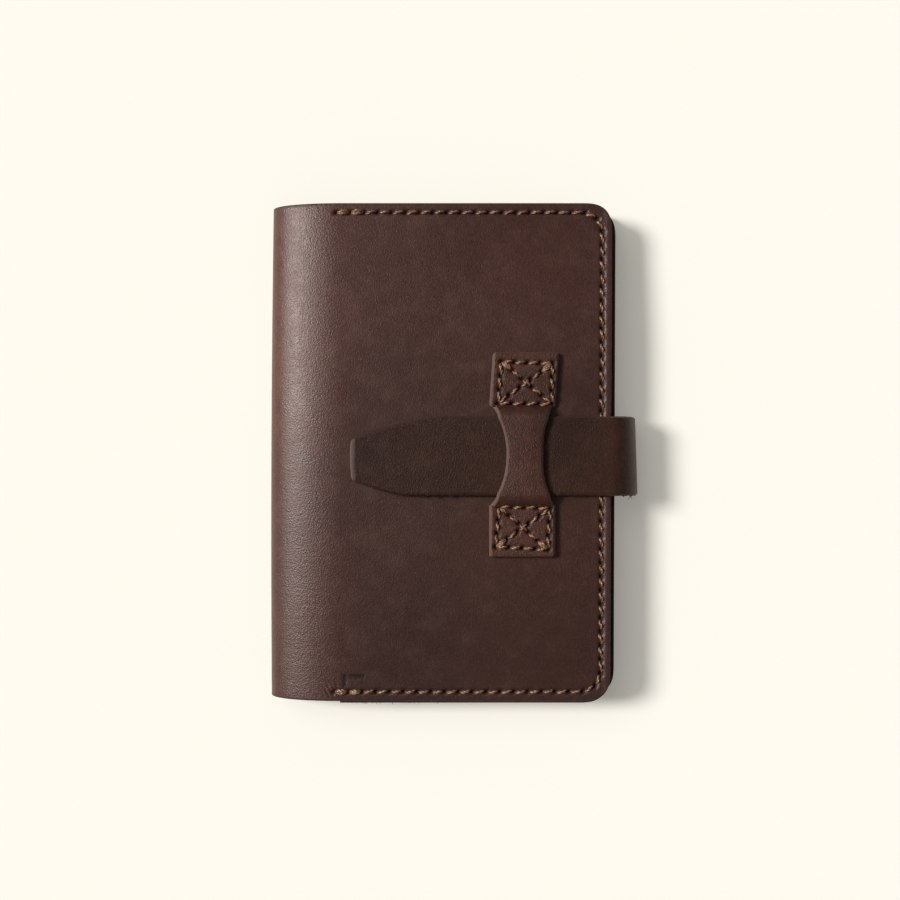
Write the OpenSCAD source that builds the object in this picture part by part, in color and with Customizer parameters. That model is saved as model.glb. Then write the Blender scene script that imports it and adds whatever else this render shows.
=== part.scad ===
// Leather cover for a pocket notebook, closed, lying on its back.
//
// One hide runs from the front panel round the spine to the back panel, with a
// sleeve sewn inside each panel for the notebook's covers. A strap is sewn under
// the back panel, bends round the fore edge and its tongue slips under a keeper
// on the front panel.
//
// Frame: +X from the spine to the fore edge, +Y up the page, +Z out of the front
// panel. The origin is on the table, midway between the spine and the strap's
// bend, and midway up the hide.

/* [Cover] */
// Height of the hide, along the spine
cover_h = 152; // [120:1:220]
// Width from the outside of the spine to the front panel's fore edge
cover_w = 104.4; // [86:0.2:160]
// How far the back panel runs on past the front panel's fore edge
back_extra = 2.8; // [0:0.1:5]
// Radius of the two corners at the fore edge
corner_r = 9; // [5:0.5:16]
// Thickness of the hide
hide_t = 2.2; // [1.6:0.1:2.8]
// Clear height between the two sleeves, for the notebook
notebook_gap = 6.4; // [5:0.1:16]

/* [Spine] */
// How far the spine's curve runs back over the front
shoulder_run = 22; // [14:0.5:30]
// Drop from the front face to the outermost line of the spine
shoulder_drop = 9.5; // [7:0.1:10.5]
// How far the spine's lower curve runs back under the cover
heel_run = 12; // [8:0.5:16]
// Gap between the panels at each fold
fold_gap = 0.3; // [0.2:0.05:0.6]

/* [Sleeves] */
// Thickness of a sleeve
sleeve_t = 1.4; // [1:0.1:2]
// Slack between a sleeve and its panel, where the notebook's cover goes
pocket_gap = 0.5; // [0.3:0.05:0.7]
// Width of the sewn margin round a pocket
pocket_margin = 5; // [4:0.5:8]
// How far a sleeve stands past the hide at the foot
sleeve_proud = 0.9; // [0:0.1:1.5]

/* [Strap] */
// Width of the strap
strap_w = 24.2; // [14:0.1:32]
// Thickness of the strap
strap_t = 2.2; // [1.6:0.1:2.8]
// How far the tongue reaches back from the fore edge
tongue_reach = 78.8; // [60:0.2:86]
// How far the tail runs back under the cover from the fore edge
tail_reach = 60; // [50:1:70]
// Width of the tongue's blunt tip
tip_w = 13; // [8:0.5:16]
// Length of the tip's taper on its lower side
tip_taper = 16; // [10:0.5:24]
// Height of the strap's centre line from the middle of the hide
strap_y = -1.1; // [-3:0.1:3]

/* [Keeper] */
// Length of each of its two pads that lies flat on the panel
pad_flat = 16; // [15.5:0.1:20]
// Width of the pads
pad_w = 20.5; // [18:0.5:26]
// Length of each pad as far as the start of the waist
pad_len = 16.2; // [15:0.2:18]
// Width of the waist over the strap
waist_w = 10.8; // [8:0.2:14]
// Thickness of the keeper
keeper_t = 2.2; // [1.6:0.1:2.8]
// Distance of its centre line from the front panel's fore edge
keeper_inset = 26.2; // [20:0.2:40]
// Height of its middle from the middle of the hide
keeper_y = -0.7; // [-3:0.1:3]
// Slip between the strap and the pieces it passes
slip = 0.5; // [0.4:0.05:0.8]
// Clearance between the strap's bend and the back panel's edge
edge_gap = 0.3; // [0.2:0.05:1]
// Run of the keeper's rise from the panel to over the strap
rise_run = 2.6; // [2:0.1:4]

/* [Stitches] */
// Spacing of the holes, six to the inch
pitch = 4.23; // [3:0.01:5]
// Spacing of the holes in the sewn boxes
box_pitch = 3.9; // [3:0.01:5]
// Distance of a seam from the edge
seam_inset = 3; // [2.4:0.1:4]
// Thickness of the thread
thread_d = 0.8; // [0.6:0.05:1]
// How far a stitch stands out of the leather
thread_proud = 0.2; // [0.1:0.05:0.25]
// Width of each sewn box
box_w = 15.5; // [12:0.5:18]
// Height of each sewn box
box_h = 12.7; // [10:0.1:13]
// Distance of a pad's box from the pad's outer edge
box_inset = 2.4; // [2:0.1:3]

/* [Hidden] */

// Heights of the layers, from the table up
z_back = strap_t;
z_back_in = z_back + hide_t;
z_back_top = z_back_in + sleeve_t;
z_front_foot = z_back_top + notebook_gap;
z_front_in = z_front_foot + sleeve_t;
z_front = z_front_in + hide_t;
z_tongue = z_front + slip;
z_tongue_top = z_tongue + strap_t;
z_waist = z_tongue_top + slip;
z_waist_top = z_waist + keeper_t;

// How far the strap's bend stands out past the front panel's fore edge
bend_reach = z_tongue_top / 2;

// Places along X
x_spine = -(cover_w + bend_reach) / 2;
x_edge = x_spine + cover_w;
x_back_edge = x_edge + back_extra;
x_flat = x_spine + shoulder_run;
x_heel = x_spine + heel_run;
x_tail = x_edge - tail_reach;
x_lift = x_tail - 2;
x_tip = x_edge - tongue_reach;
x_under = x_back_edge + edge_gap;
x_out = x_edge + bend_reach;
x_keeper = x_edge - keeper_inset;
x_seam = x_flat - 1.5;

// The keeper spans the strap with slip to spare, rises at each side and ends in pads
keeper_span = strap_w / 2 + slip;
keeper_len = 2 * (keeper_span + rise_run + pad_flat);

// The spine's outermost line, and the two fold lines as angles round its curves
z_nose = z_front - shoulder_drop;
fold_up = 56;
fold_low = 51;

// Steps round each curve
curve_steps = 10;
overlap = 1;

hide_colour = [0.27, 0.19, 0.17];
sleeve_colour = [0.33, 0.24, 0.19];
strap_colour = [0.21, 0.15, 0.12];
keeper_colour = [0.28, 0.20, 0.17];
thread_colour = [0.56, 0.38, 0.20];

// ---- The hide's section -------------------------------------------------------

// Point on the shoulder, an elliptic quarter: t is 0 at the flat front and 90 at
// the spine's outermost line, and depth is measured inwards, square to the hide
function shoulder(t, depth) =
    let (n = [sin(t) / shoulder_run, -cos(t) / shoulder_drop])
    [x_flat - shoulder_run * sin(t), z_nose + shoulder_drop * cos(t)]
    + depth * n / norm(n);

// Point on the heel, the elliptic quarter under the spine: t is 0 on the table
function heel(t, depth) =
    let (n = [sin(t) / heel_run, cos(t) / z_nose])
    [x_heel - heel_run * sin(t), z_nose - z_nose * cos(t)]
    + depth * n / norm(n);

// Point on the back panel's gentle rise from the table on to the strap's tail,
// half a cosine wave, with x given and depth measured up from the underside
function rise(x, depth) =
    let (u = min(max((x - x_heel) / (x_lift - x_heel), 0), 1),
         slope = z_back * PI / 2 * sin(180 * u) / (x_lift - x_heel),
         n = [-slope, 1])
    [x, z_back * (1 - cos(180 * u)) / 2] + depth * n / norm(n);

// Angle that half the fold gap takes up on an elliptic quarter at angle t
function half_gap(run, drop, t) =
    fold_gap / 2 / norm([run * cos(t), drop * sin(t)]) * 180 / PI;

function steps(a, b, n = curve_steps) = [for (i = [0:n]) a + (b - a) * i / n];
function reversed(list) = [for (i = [len(list) - 1:-1:0]) list[i]];

up_gap = half_gap(shoulder_run, shoulder_drop, fold_up);
low_gap = half_gap(heel_run, z_nose, fold_low);

function front_line(depth) = concat(
    [[x_edge, z_front - depth]],
    [for (t = steps(0, fold_up - up_gap)) shoulder(t, depth)]);
function spine_line(depth) = concat(
    [for (t = steps(fold_up + up_gap, 90)) shoulder(t, depth)],
    [for (t = steps(90, fold_low + low_gap)) if (t < 90) heel(t, depth)]);
function back_line(depth) = concat(
    [for (t = steps(fold_low - low_gap, 0)) if (t > 0) heel(t, depth)],
    [for (x = steps(x_heel, x_lift)) rise(x, depth)],
    [[x_back_edge, z_back + depth]]);
function lining_line(depth, x0, x1) = concat(
    [for (x = steps(x0, x_lift)) rise(x, depth)],
    [[x1, z_back + depth]]);

// A section in X and Z, run along Y from y0 to y1
module run_along_y(section, y0, y1) {
    translate([0, y1, 0])
        rotate([90, 0, 0])
            linear_extrude(y1 - y0) polygon(section);
}

// The upright block that a panel is cut to: straight at the spine, and rounded
// at its two corners on the fore edge
module panel_block(edge, y0, y1) {
    tall = z_front + 2 * overlap;
    near = edge - corner_r;
    translate([0, 0, -overlap]) {
        translate([x_spine - overlap, y0, 0])
            cube([near - x_spine + overlap, y1 - y0, tall]);
        translate([near - overlap, y0 + corner_r, 0])
            cube([corner_r + overlap, y1 - y0 - 2 * corner_r, tall]);
        for (y = [y0 + corner_r, y1 - corner_r])
            translate([near, y, 0]) cylinder(r = corner_r, h = tall, $fn = 64);
    }
}

// ---- Hide and sleeves ---------------------------------------------------------

module front_panel() {
    color(hide_colour)
        intersection() {
            run_along_y(concat(front_line(0), reversed(front_line(hide_t))),
                        -cover_h / 2, cover_h / 2);
            panel_block(x_edge, -cover_h / 2, cover_h / 2);
        }
}

module spine_panel() {
    color(hide_colour)
        run_along_y(concat(spine_line(0), reversed(spine_line(hide_t))),
                    -cover_h / 2, cover_h / 2);
}

module back_panel() {
    color(hide_colour)
        intersection() {
            run_along_y(concat(back_line(0), reversed(back_line(hide_t))),
                        -cover_h / 2, cover_h / 2);
            panel_block(x_back_edge, -cover_h / 2, cover_h / 2);
        }
}

// Each sleeve is cut back inside its sewn margin, so the notebook's cover slides
// in from the free edge by the spine
module front_sleeve() {
    foot = -cover_h / 2 - sleeve_proud;
    color(sleeve_colour)
        difference() {
            intersection() {
                translate([x_flat, foot, z_front_foot])
                    cube([x_edge - x_flat, cover_h / 2 - foot, sleeve_t]);
                panel_block(x_edge, foot, cover_h / 2);
            }
            translate([x_flat - overlap, pocket_margin - cover_h / 2, z_front_in - pocket_gap])
                cube([x_edge - x_flat - pocket_margin + overlap,
                      cover_h - 2 * pocket_margin, pocket_gap + overlap]);
        }
}

module back_sleeve() {
    pocket_end = x_back_edge - pocket_margin;
    color(sleeve_colour)
        difference() {
            intersection() {
                run_along_y(concat(lining_line(hide_t, x_flat, x_back_edge),
                                   reversed(lining_line(hide_t + sleeve_t, x_flat, x_back_edge))),
                            -cover_h / 2, cover_h / 2);
                panel_block(x_back_edge, -cover_h / 2, cover_h / 2);
            }
            run_along_y(concat(lining_line(hide_t - overlap, x_heel, pocket_end),
                               reversed(lining_line(hide_t + pocket_gap, x_heel, pocket_end))),
                        pocket_margin - cover_h / 2, cover_h / 2 - pocket_margin);
        }
}

// ---- Strap and keeper ---------------------------------------------------------

// Point on the strap's bend, two elliptic quarters that meet at its outermost
// line: t is 0 under the back panel's edge, 90 at that line and 180 over the front
// panel's edge, and depth is measured inwards, square to the strap
function bend(t, depth) =
    let (start = t < 90 ? x_under : x_edge,
         run = x_out - start,
         rise = z_tongue_top / 2,
         n = [sin(t) / run, -cos(t) / rise])
    [start + run * sin(t), rise - rise * cos(t)] - depth * n / norm(n);

// The tail lies flat under the back panel, which rests on it
module strap_tail() {
    color(strap_colour)
        translate([x_tail, strap_y - strap_w / 2, 0])
            cube([x_under - x_tail, strap_w, strap_t]);
}

// The bend goes round the fore edge, from the tail up to the tongue
module strap_bend() {
    turns = steps(0, 180, 2 * curve_steps);
    color(strap_colour)
        run_along_y(concat([for (t = turns) bend(t, 0)],
                           [for (t = reversed(turns)) bend(t, strap_t)]),
                    strap_y - strap_w / 2, strap_y + strap_w / 2);
}

// The tongue tapers to a blunt tip, longer on its upper side
module strap_tongue() {
    half = strap_w / 2;
    tip = tip_w / 2;
    sag = 1.1;
    color(strap_colour)
        translate([0, strap_y, z_tongue])
            linear_extrude(strap_t)
                polygon([
                    [x_tip, -tip - sag], [x_tip, tip - sag],
                    [x_tip + 1.1 * tip_taper, 0.9 * half], [x_tip + 1.8 * tip_taper, half],
                    [x_edge, half], [x_edge, -half],
                    [x_tip + tip_taper, -half]
                ]);
}

// Half width of the keeper at y from its middle: full at the pads, drawn in
// along a power curve to the waist
function keeper_half(y) =
    let (reach = keeper_len / 2 - pad_len,
         u = min(abs(y) / reach, 1))
    waist_w / 2 + (pad_w - waist_w) / 2 * pow(u, 2.6);

// Height of one of the keeper's faces at y: low on the pads and high over the
// strap, with half a cosine wave of the given run on each side
function keeper_face(y, low, high, run) =
    let (u = min(max((abs(y - strap_y) - keeper_span) / run, 0), 1))
    high + (low - high) * (1 - cos(180 * u)) / 2;

// Places along Y where a keeper's face changes, from end to end
function keeper_stops(run) = concat(
    [keeper_y - keeper_len / 2],
    steps(strap_y - keeper_span - run, strap_y - keeper_span, 6),
    steps(strap_y + keeper_span, strap_y + keeper_span + run, 6),
    [keeper_y + keeper_len / 2]);

// The top face rises over a longer run than the underside, which keeps the
// leather near its full thickness on the slope
module keeper() {
    waist = keeper_len / 2 - pad_len;
    sides = concat([-keeper_len / 2], steps(-waist, waist, 16), [keeper_len / 2]);
    top_run = rise_run + 1.4;
    section = concat(
        [for (y = keeper_stops(rise_run))
         [y, keeper_face(y, z_front, z_waist, rise_run)]],
        [for (y = reversed(keeper_stops(top_run)))
         [y, keeper_face(y, z_front + keeper_t, z_waist_top, top_run)]]);
    color(keeper_colour)
        intersection() {
            translate([x_keeper - pad_w / 2, 0, 0])
                rotate([90, 0, 90])
                    linear_extrude(pad_w) polygon(section);
            translate([x_keeper, keeper_y, z_front - overlap])
                linear_extrude(z_waist_top - z_front + 2 * overlap)
                    polygon(concat(
                        [for (y = sides) [keeper_half(y), y]],
                        [for (y = reversed(sides)) [-keeper_half(y), y]]));
        }
}

// ---- Stitches -----------------------------------------------------------------

// One stitch from hole p to hole q: a run along the face at height z with a leg
// down each hole to height deep. Two stitches share a hole, side by side.
module stitch(p, q, z, deep) {
    out = z > deep ? 1 : -1;
    gap = 0.05;
    leg = thread_d / 2 - gap;
    nip = 0.2;
    length = norm(q - p);
    top = z + out * thread_proud;
    low = top - out * thread_d;
    way = atan2(q[1] - p[1], q[0] - p[0]);
    translate([p[0], p[1], 0])
        rotate([0, 0, way])
            translate([0, thread_d / 2, 0])
                rotate([90, 0, 0])
                    linear_extrude(thread_d)
                        polygon([
                            [gap, deep], [gap, top - out * nip], [gap + nip, top],
                            [length - gap - nip, top], [length - gap, top - out * nip],
                            [length - gap, deep], [length - gap - leg, deep],
                            [length - gap - leg, low], [gap + leg, low], [gap + leg, deep]
                        ]);
}

// Hole at distance s along a seam that runs from the spine along the head, round
// the fore edge and back along the foot, seam_inset inside the edge
function seam_point(s, edge) =
    let (r = corner_r - seam_inset,
         x1 = edge - corner_r,
         y1 = cover_h / 2 - corner_r,
         head = x1 - x_seam,
         bend = r * PI / 2,
         side = 2 * y1)
    s <= head ? [x_seam + s, y1 + r]
    : s <= head + bend
      ? let (a = 90 - (s - head) / r * 180 / PI) [x1 + r * cos(a), y1 + r * sin(a)]
    : s <= head + bend + side ? [x1 + r, y1 - (s - head - bend)]
    : s <= head + 2 * bend + side
      ? let (a = -(s - head - bend - side) / r * 180 / PI) [x1 + r * cos(a), -y1 + r * sin(a)]
    : [x1 - (s - head - 2 * bend - side), -y1 - r];

function seam_length(edge) =
    2 * (edge - corner_r - x_seam) + (corner_r - seam_inset) * PI
    + cover_h - 2 * corner_r;

// A seam round three sides. On the back panel each stitch follows the rise.
module edge_seam(edge, z, deep, on_back = false) {
    count = round(seam_length(edge) / pitch);
    step = seam_length(edge) / count;
    color(thread_colour)
        for (i = [0:count - 1]) {
            p = seam_point(i * step, edge);
            q = seam_point((i + 1) * step, edge);
            drop = on_back ? z_back - rise((p[0] + q[0]) / 2, 0)[1] : 0;
            translate([0, 0, -drop]) stitch(p, q, z, deep);
        }
}

// A row of stitches between two corners, at the nearest whole number of the
// boxes' pitches, kept clear of the corner holes by trim
module stitch_row(p, q, z, deep, trim) {
    way = (q - p) / norm(q - p);
    a = p + trim * way;
    b = q - trim * way;
    count = max(1, round(norm(b - a) / box_pitch));
    for (i = [0:count - 1])
        stitch(a + (b - a) * i / count, a + (b - a) * (i + 1) / count, z, deep);
}

// Four sides and two diagonals. The diagonals stop short of each other's holes.
module sewn_box(centre, z, deep) {
    w = box_w / 2;
    h = box_h / 2;
    corners = [for (c = [[-1, -1], [1, -1], [1, 1], [-1, 1]]) centre + [c[0] * w, c[1] * h]];
    corner_trim = 0.5;
    cross_trim = 1.6;
    color(thread_colour) {
        for (i = [0:3])
            stitch_row(corners[i], corners[(i + 1) % 4], z, deep, corner_trim);
        for (i = [0:3])
            stitch_row(corners[i], centre, z, deep, cross_trim);
    }
}

// Where the needle and bobbin threads lock, half way through the leather
lock_gap = 0.05;
front_lock = (z_front + z_front_foot) / 2;
back_lock = (z_back + z_back_top) / 2;
keeper_lock = z_front + keeper_t / 2 - hide_t / 2;
anchor_lock = (z_back + z_back_in) / 2;

box_reach = keeper_len / 2 - box_inset - box_h / 2;
box_top = [x_keeper, keeper_y + box_reach];
box_foot = [x_keeper, keeper_y - box_reach];
box_anchor = [x_tail + box_inset + box_w / 2, strap_y];

module front_seam_needle_thread() edge_seam(x_edge, z_front, front_lock + lock_gap);
module front_seam_bobbin_thread() edge_seam(x_edge, z_front_foot, front_lock - lock_gap);
module back_seam_needle_thread() edge_seam(x_back_edge, z_back, back_lock - lock_gap, true);
module back_seam_bobbin_thread() edge_seam(x_back_edge, z_back_top, back_lock + lock_gap, true);
module keeper_top_needle_thread() sewn_box(box_top, z_front + keeper_t, keeper_lock + lock_gap);
module keeper_top_bobbin_thread() sewn_box(box_top, z_front_in, keeper_lock - lock_gap);
module keeper_foot_needle_thread() sewn_box(box_foot, z_front + keeper_t, keeper_lock + lock_gap);
module keeper_foot_bobbin_thread() sewn_box(box_foot, z_front_in, keeper_lock - lock_gap);
module strap_anchor_needle_thread() sewn_box(box_anchor, thread_proud, anchor_lock - lock_gap);
module strap_anchor_bobbin_thread() sewn_box(box_anchor, z_back_in, anchor_lock + lock_gap);

front_panel();
spine_panel();
back_panel();
front_sleeve();
back_sleeve();
keeper();
strap_tail();
strap_bend();
strap_tongue();
front_seam_needle_thread();
front_seam_bobbin_thread();
back_seam_needle_thread();
back_seam_bobbin_thread();
keeper_top_needle_thread();
keeper_top_bobbin_thread();
keeper_foot_needle_thread();
keeper_foot_bobbin_thread();
strap_anchor_needle_thread();
strap_anchor_bobbin_thread();
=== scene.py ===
"""Leather notebook cover: its looks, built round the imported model.

Sizes in the functions are millimetres in the frame's own axes: +X from the spine to
the fore edge, +Y to the head, +Z out of the front panel. A piece is turned to metres
when its mesh is made. Every leather piece is a closed loop carried along a path.
"""

import bpy
import numpy as np
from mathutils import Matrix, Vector


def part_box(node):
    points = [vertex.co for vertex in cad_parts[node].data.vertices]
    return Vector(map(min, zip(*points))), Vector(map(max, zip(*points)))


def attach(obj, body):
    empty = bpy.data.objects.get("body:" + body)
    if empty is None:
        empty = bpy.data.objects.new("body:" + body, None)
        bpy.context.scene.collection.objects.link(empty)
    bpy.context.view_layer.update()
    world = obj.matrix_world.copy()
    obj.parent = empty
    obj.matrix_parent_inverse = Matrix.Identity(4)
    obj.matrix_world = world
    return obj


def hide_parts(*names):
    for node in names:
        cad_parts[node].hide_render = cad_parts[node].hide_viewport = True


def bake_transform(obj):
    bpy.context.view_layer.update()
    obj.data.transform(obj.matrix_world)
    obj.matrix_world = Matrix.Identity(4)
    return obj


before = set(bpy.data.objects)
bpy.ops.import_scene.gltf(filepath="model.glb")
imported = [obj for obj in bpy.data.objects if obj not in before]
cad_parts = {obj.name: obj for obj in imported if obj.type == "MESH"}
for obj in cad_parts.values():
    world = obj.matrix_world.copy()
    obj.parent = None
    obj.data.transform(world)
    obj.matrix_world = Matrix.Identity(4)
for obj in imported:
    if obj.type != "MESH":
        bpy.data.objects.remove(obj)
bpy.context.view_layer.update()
MM = 0.001


def box(node):
    """A node's lowest and highest corners in millimetres."""
    low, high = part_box(node)
    return np.array(low) / MM, np.array(high) / MM


# ---- Sizes, from the frame -----------------------------------------------------

FRONT_LOW, FRONT_HIGH = box("front_panel")
FRONT_SLEEVE_LOW, FRONT_SLEEVE_HIGH = box("front_sleeve")
TAIL_LOW, TAIL_HIGH = box("strap_tail")
KEEPER_LOW, KEEPER_HIGH = box("keeper")

HEAD, FOOT = FRONT_HIGH[1], FRONT_LOW[1]
X_EDGE, X_BACK_EDGE = FRONT_HIGH[0], box("back_panel")[1][0]
X_FLAT = FRONT_SLEEVE_LOW[0]
X_SPINE = box("spine_panel")[0][0]
Z_FRONT = FRONT_HIGH[2]
HIDE_T = Z_FRONT - FRONT_SLEEVE_HIGH[2]
SLEEVE_T = FRONT_SLEEVE_HIGH[2] - FRONT_SLEEVE_LOW[2]
STRAP_T = TAIL_HIGH[2]
Z_BACK = STRAP_T
STRAP_Y = (TAIL_LOW[1] + TAIL_HIGH[1]) / 2
STRAP_W = TAIL_HIGH[1] - TAIL_LOW[1]
X_TIP = box("strap_tongue")[0][0]
X_LOOP = box("strap_bend")[1][0]
KEEPER_X = (KEEPER_LOW[0] + KEEPER_HIGH[0]) / 2
KEEPER_Y = (KEEPER_LOW[1] + KEEPER_HIGH[1]) / 2
KEEPER_REACH = (KEEPER_HIGH[1] - KEEPER_LOW[1]) / 2
KEEPER_T = 2.2

# The spine's section: the shoulder over the front and the heel under the back
SHOULDER_RUN = X_FLAT - X_SPINE
SHOULDER_DROP = 9.5
HEEL_RUN = 12.0
Z_NOSE = Z_FRONT - SHOULDER_DROP
X_LIFT = TAIL_LOW[0] - 2.0

# How the used cover lies: the front's hide has spread past its panel, the whole is
# sheared and shifted, the spine has bowed, the head's corner droops, the head edge
# has spread, and the strap rides a little over the front
X_FRONT = X_EDGE + 0.35
SHEAR, SHIFT = 0.004, -0.1
SPINE_BOW = 0.45
DROOP = 2.0
HEAD_SPREAD = 0.25
STRAP_REST = 0.42

# Height of the eye over the front's face
EYE_HEIGHT = 350.0

CORNER_R = 9.0
SEAM_INSET = 3.0
PITCH = 4.23
X_SEAM = X_FLAT - 1.5
BOX_W, BOX_H = 15.5, 12.7
BOX_INSET = 2.4
ANCHOR_GROOVE = 1.12
THREAD_R = 0.45
HOLE_LONG, HOLE_WIDE = 0.85, 0.5

# Height of a stitch's middle over the leather, along a seam and in a box, and how
# far it needs to stay over the table
SEAM_LIFT, BOX_LIFT, TABLE_ROOM = 0.28, 0.3, 0.8
# How far to either side the extra strands of a knotted stitch bow
KNOT_BOW = 0.42

# How straight a cut edge slopes: 1 is a rounded edge, 2 a plain chamfer
CHAMFER = 1.6


# ---- Meshes --------------------------------------------------------------------

def sweep(grid, marks=None):
    """Closed tubes from grid (..., stations, around, 3): four-sided faces join each
    ring to the next, and each end ring is closed by one face. The faces of a tube
    that encloses a negative volume are all turned round."""
    stations, around = grid.shape[-3:-1]
    tubes = grid.reshape(-1, stations, around, 3)
    a = np.arange(stations - 1)[:, None] * around + np.arange(around)[None]
    b = np.arange(stations - 1)[:, None] * around + (np.arange(around)[None] + 1) % around
    quads = np.stack([a, b, b + around, a + around], -1).reshape(-1, 4)
    first = np.arange(around)[::-1]
    last = np.arange(around) + (stations - 1) * around
    points, faces = [], []
    for n, tube in enumerate(tubes):
        flat = tube.reshape(-1, 3)
        middle = flat - flat.mean(0)
        p, q, r, s = (middle[quads[:, k]] for k in range(4))
        volume = np.einsum("ij,ij->i", p, np.cross(q, r) + np.cross(r, s)).sum()
        step = -1 if volume < 0 else 1
        start = n * len(flat)
        points.append(flat)
        faces += (quads[:, ::step] + start).tolist()
        faces += [(first[::step] + start).tolist(), (last[::step] + start).tolist()]
    return np.concatenate(points), faces, {
        name: values.reshape(-1) for name, values in (marks or {}).items()}


def piece(name, shells, material, sharp=50):
    """One object from closed shells (points, faces, marks). Marks become float
    attributes, one value to a point."""
    points, faces, start = [], [], 0
    for verts, polygons, _ in shells:
        faces += [[i + start for i in polygon] for polygon in polygons]
        points.append(verts)
        start += len(verts)
    points = np.concatenate(points)
    mesh = bpy.data.meshes.new(name)
    mesh.from_pydata((points * MM).tolist(), [], faces)
    for mark in sorted({key for _, _, marks in shells for key in marks}):
        values = np.concatenate([
            marks.get(mark, np.zeros(len(verts))) for verts, _, marks in shells])
        mesh.attributes.new(mark, "FLOAT", "POINT").data.foreach_set(
            "value", values.astype(np.float32))
    mesh.polygons.foreach_set("use_smooth", np.ones(len(mesh.polygons), bool))
    mesh.set_sharp_from_angle(angle=np.radians(sharp))
    mesh.materials.append(material)
    thing = bpy.data.objects.new(name, mesh)
    bpy.context.scene.collection.objects.link(thing)
    return thing


def smooth(value, low, high):
    """0 below low, 1 above high, and a smooth step between."""
    t = np.clip((value - low) / (high - low), 0, 1)
    return t * t * (3 - 2 * t)


def within(value, up, down):
    """A band from 0 to 1 and back, with a smooth step over each span (low, high)."""
    return smooth(value, *up) * smooth(-value, -down[1], -down[0])


def waves(u, y, sizes, height, seed):
    """Gentle unevenness: a sum of sine waves in set directions, one for each size."""
    draw = np.random.default_rng(seed)
    total = 0
    for size in sizes:
        angle, phase = draw.uniform(0, np.pi), draw.uniform(0, 2 * np.pi)
        total = total + np.sin(
            2 * np.pi * (u * np.cos(angle) + y * np.sin(angle)) / size + phase)
    return height * total / len(sizes)


# ---- Section lines -------------------------------------------------------------

def travelled(path):
    """Distance along a path (n, 2) at each of its points."""
    return np.concatenate([[0], np.cumsum(np.linalg.norm(np.diff(path, axis=0), axis=1))])


def left_of(path, *run):
    """Unit vectors square to a path (n, 2), on the left-hand side of travel."""
    slope = np.gradient(path, *run, axis=0)
    slope /= np.linalg.norm(slope, axis=1)[:, None]
    return np.stack([-slope[:, 1], slope[:, 0]], 1)


class Line:
    """A line in X and Z that a flat sheet is bent to. u is x where the line is flat
    and goes on along its length from there; h is height off it, outwards."""

    def __init__(self, points, out):
        run = travelled(points)
        self.u = (points[0, 0] - run)[::-1]
        self.point = points[::-1]
        self.normal = (-out * left_of(points, run))[::-1]
        self.end = self.u[0]

    def at(self, u, y, h):
        """Places (..., 3) of sheet points (u, y) at height h, as the used cover lies."""
        x, z = (np.interp(u, self.u, self.point[:, k])
                + h * np.interp(u, self.u, self.normal[:, k]) for k in (0, 1))
        return settled(x, y, z)


def settled(x, y, z):
    """Where a point of the new cover lies on the used one: sheared a little, the
    spine bowed outwards on a parabola, the head edge spread, and the front's corner
    at the head drooping and spreading by as much as hides that droop from above."""
    bow = SPINE_BOW * (1 - (y / HEAD) ** 2) * smooth(-x, 30, 57)
    lean = SHEAR * y + SHIFT - bow
    droop = DROOP * smooth(y, 32, HEAD) * smooth(x, -10, X_EDGE) * (z > Z_NOSE + 2)
    spread = 1 + droop / EYE_HEIGHT
    return np.stack(np.broadcast_arrays(
        (x + lean) * spread, y * spread + HEAD_SPREAD * smooth(y, 55, HEAD), z - droop), -1)


def shoulder(t):
    """Elliptic quarter from the flat front (0) to the spine's outermost line (90)."""
    t = np.radians(t)
    return np.stack([X_FLAT - SHOULDER_RUN * np.sin(t), Z_NOSE + SHOULDER_DROP * np.cos(t)], 1)


def heel(t):
    """Elliptic quarter from the table (0) to the spine's outermost line (90)."""
    t = np.radians(t)
    return np.stack([X_SPINE + HEEL_RUN * (1 - np.sin(t)), Z_NOSE * (1 - np.cos(t))], 1)


def rise(x):
    """Underside of the back: half a cosine wave up from the table on to the tail."""
    t = np.clip((x - X_SPINE - HEEL_RUN) / (X_LIFT - X_SPINE - HEEL_RUN), 0, 1)
    return np.stack([x, Z_BACK * (1 - np.cos(np.pi * t)) / 2], 1)


def offset(points, depth):
    """The line moved square to itself, upwards for a line drawn towards the spine."""
    return points - depth * left_of(points)


STEPS = np.linspace(0, 90, 120)
RUN_UP = rise(np.linspace(X_BACK_EDGE, X_SPINE + HEEL_RUN, 160))
FRONT_LINE = Line(np.concatenate([[[X_FRONT + 1, Z_FRONT]], shoulder(STEPS)]), 1)
BACK_LINE = Line(np.concatenate([RUN_UP[:-1], heel(STEPS)]), -1)
FRONT_SLEEVE_LINE = Line(
    np.array([[X_EDGE, FRONT_SLEEVE_LOW[2]], [X_FLAT, FRONT_SLEEVE_LOW[2]]]), -1)
LINED = offset(RUN_UP, HIDE_T + SLEEVE_T)
BACK_SLEEVE_LINE = Line(LINED[LINED[:, 0] > X_FLAT], 1)


# ---- Stitches ------------------------------------------------------------------

def seam_path(edge):
    """Points of the holes of a seam along the head, round the fore edge and along
    the foot: straight runs joined by quarter circles, cut into equal pitches."""
    r = CORNER_R - SEAM_INSET
    x = edge - CORNER_R
    y = HEAD - CORNER_R
    head, turn, side = x - X_SEAM, r * np.pi / 2, 2 * y
    total = 2 * (head + turn) + side
    s = np.linspace(0, total, int(round(total / PITCH)) + 1)
    a = np.clip((s - head) / turn, 0, 1) * np.pi / 2
    b = np.clip((s - head - turn - side) / turn, 0, 1) * np.pi / 2
    along = np.clip(s, 0, head) - np.clip(s - head - 2 * turn - side, 0, head)
    down = np.clip(s - head - turn, 0, side)
    return np.stack([X_SEAM + along + r * np.sin(a) - r * (1 - np.cos(b)) * (b > 0),
                     y + r * np.cos(a) - down - r * np.sin(b)], 1)


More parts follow.
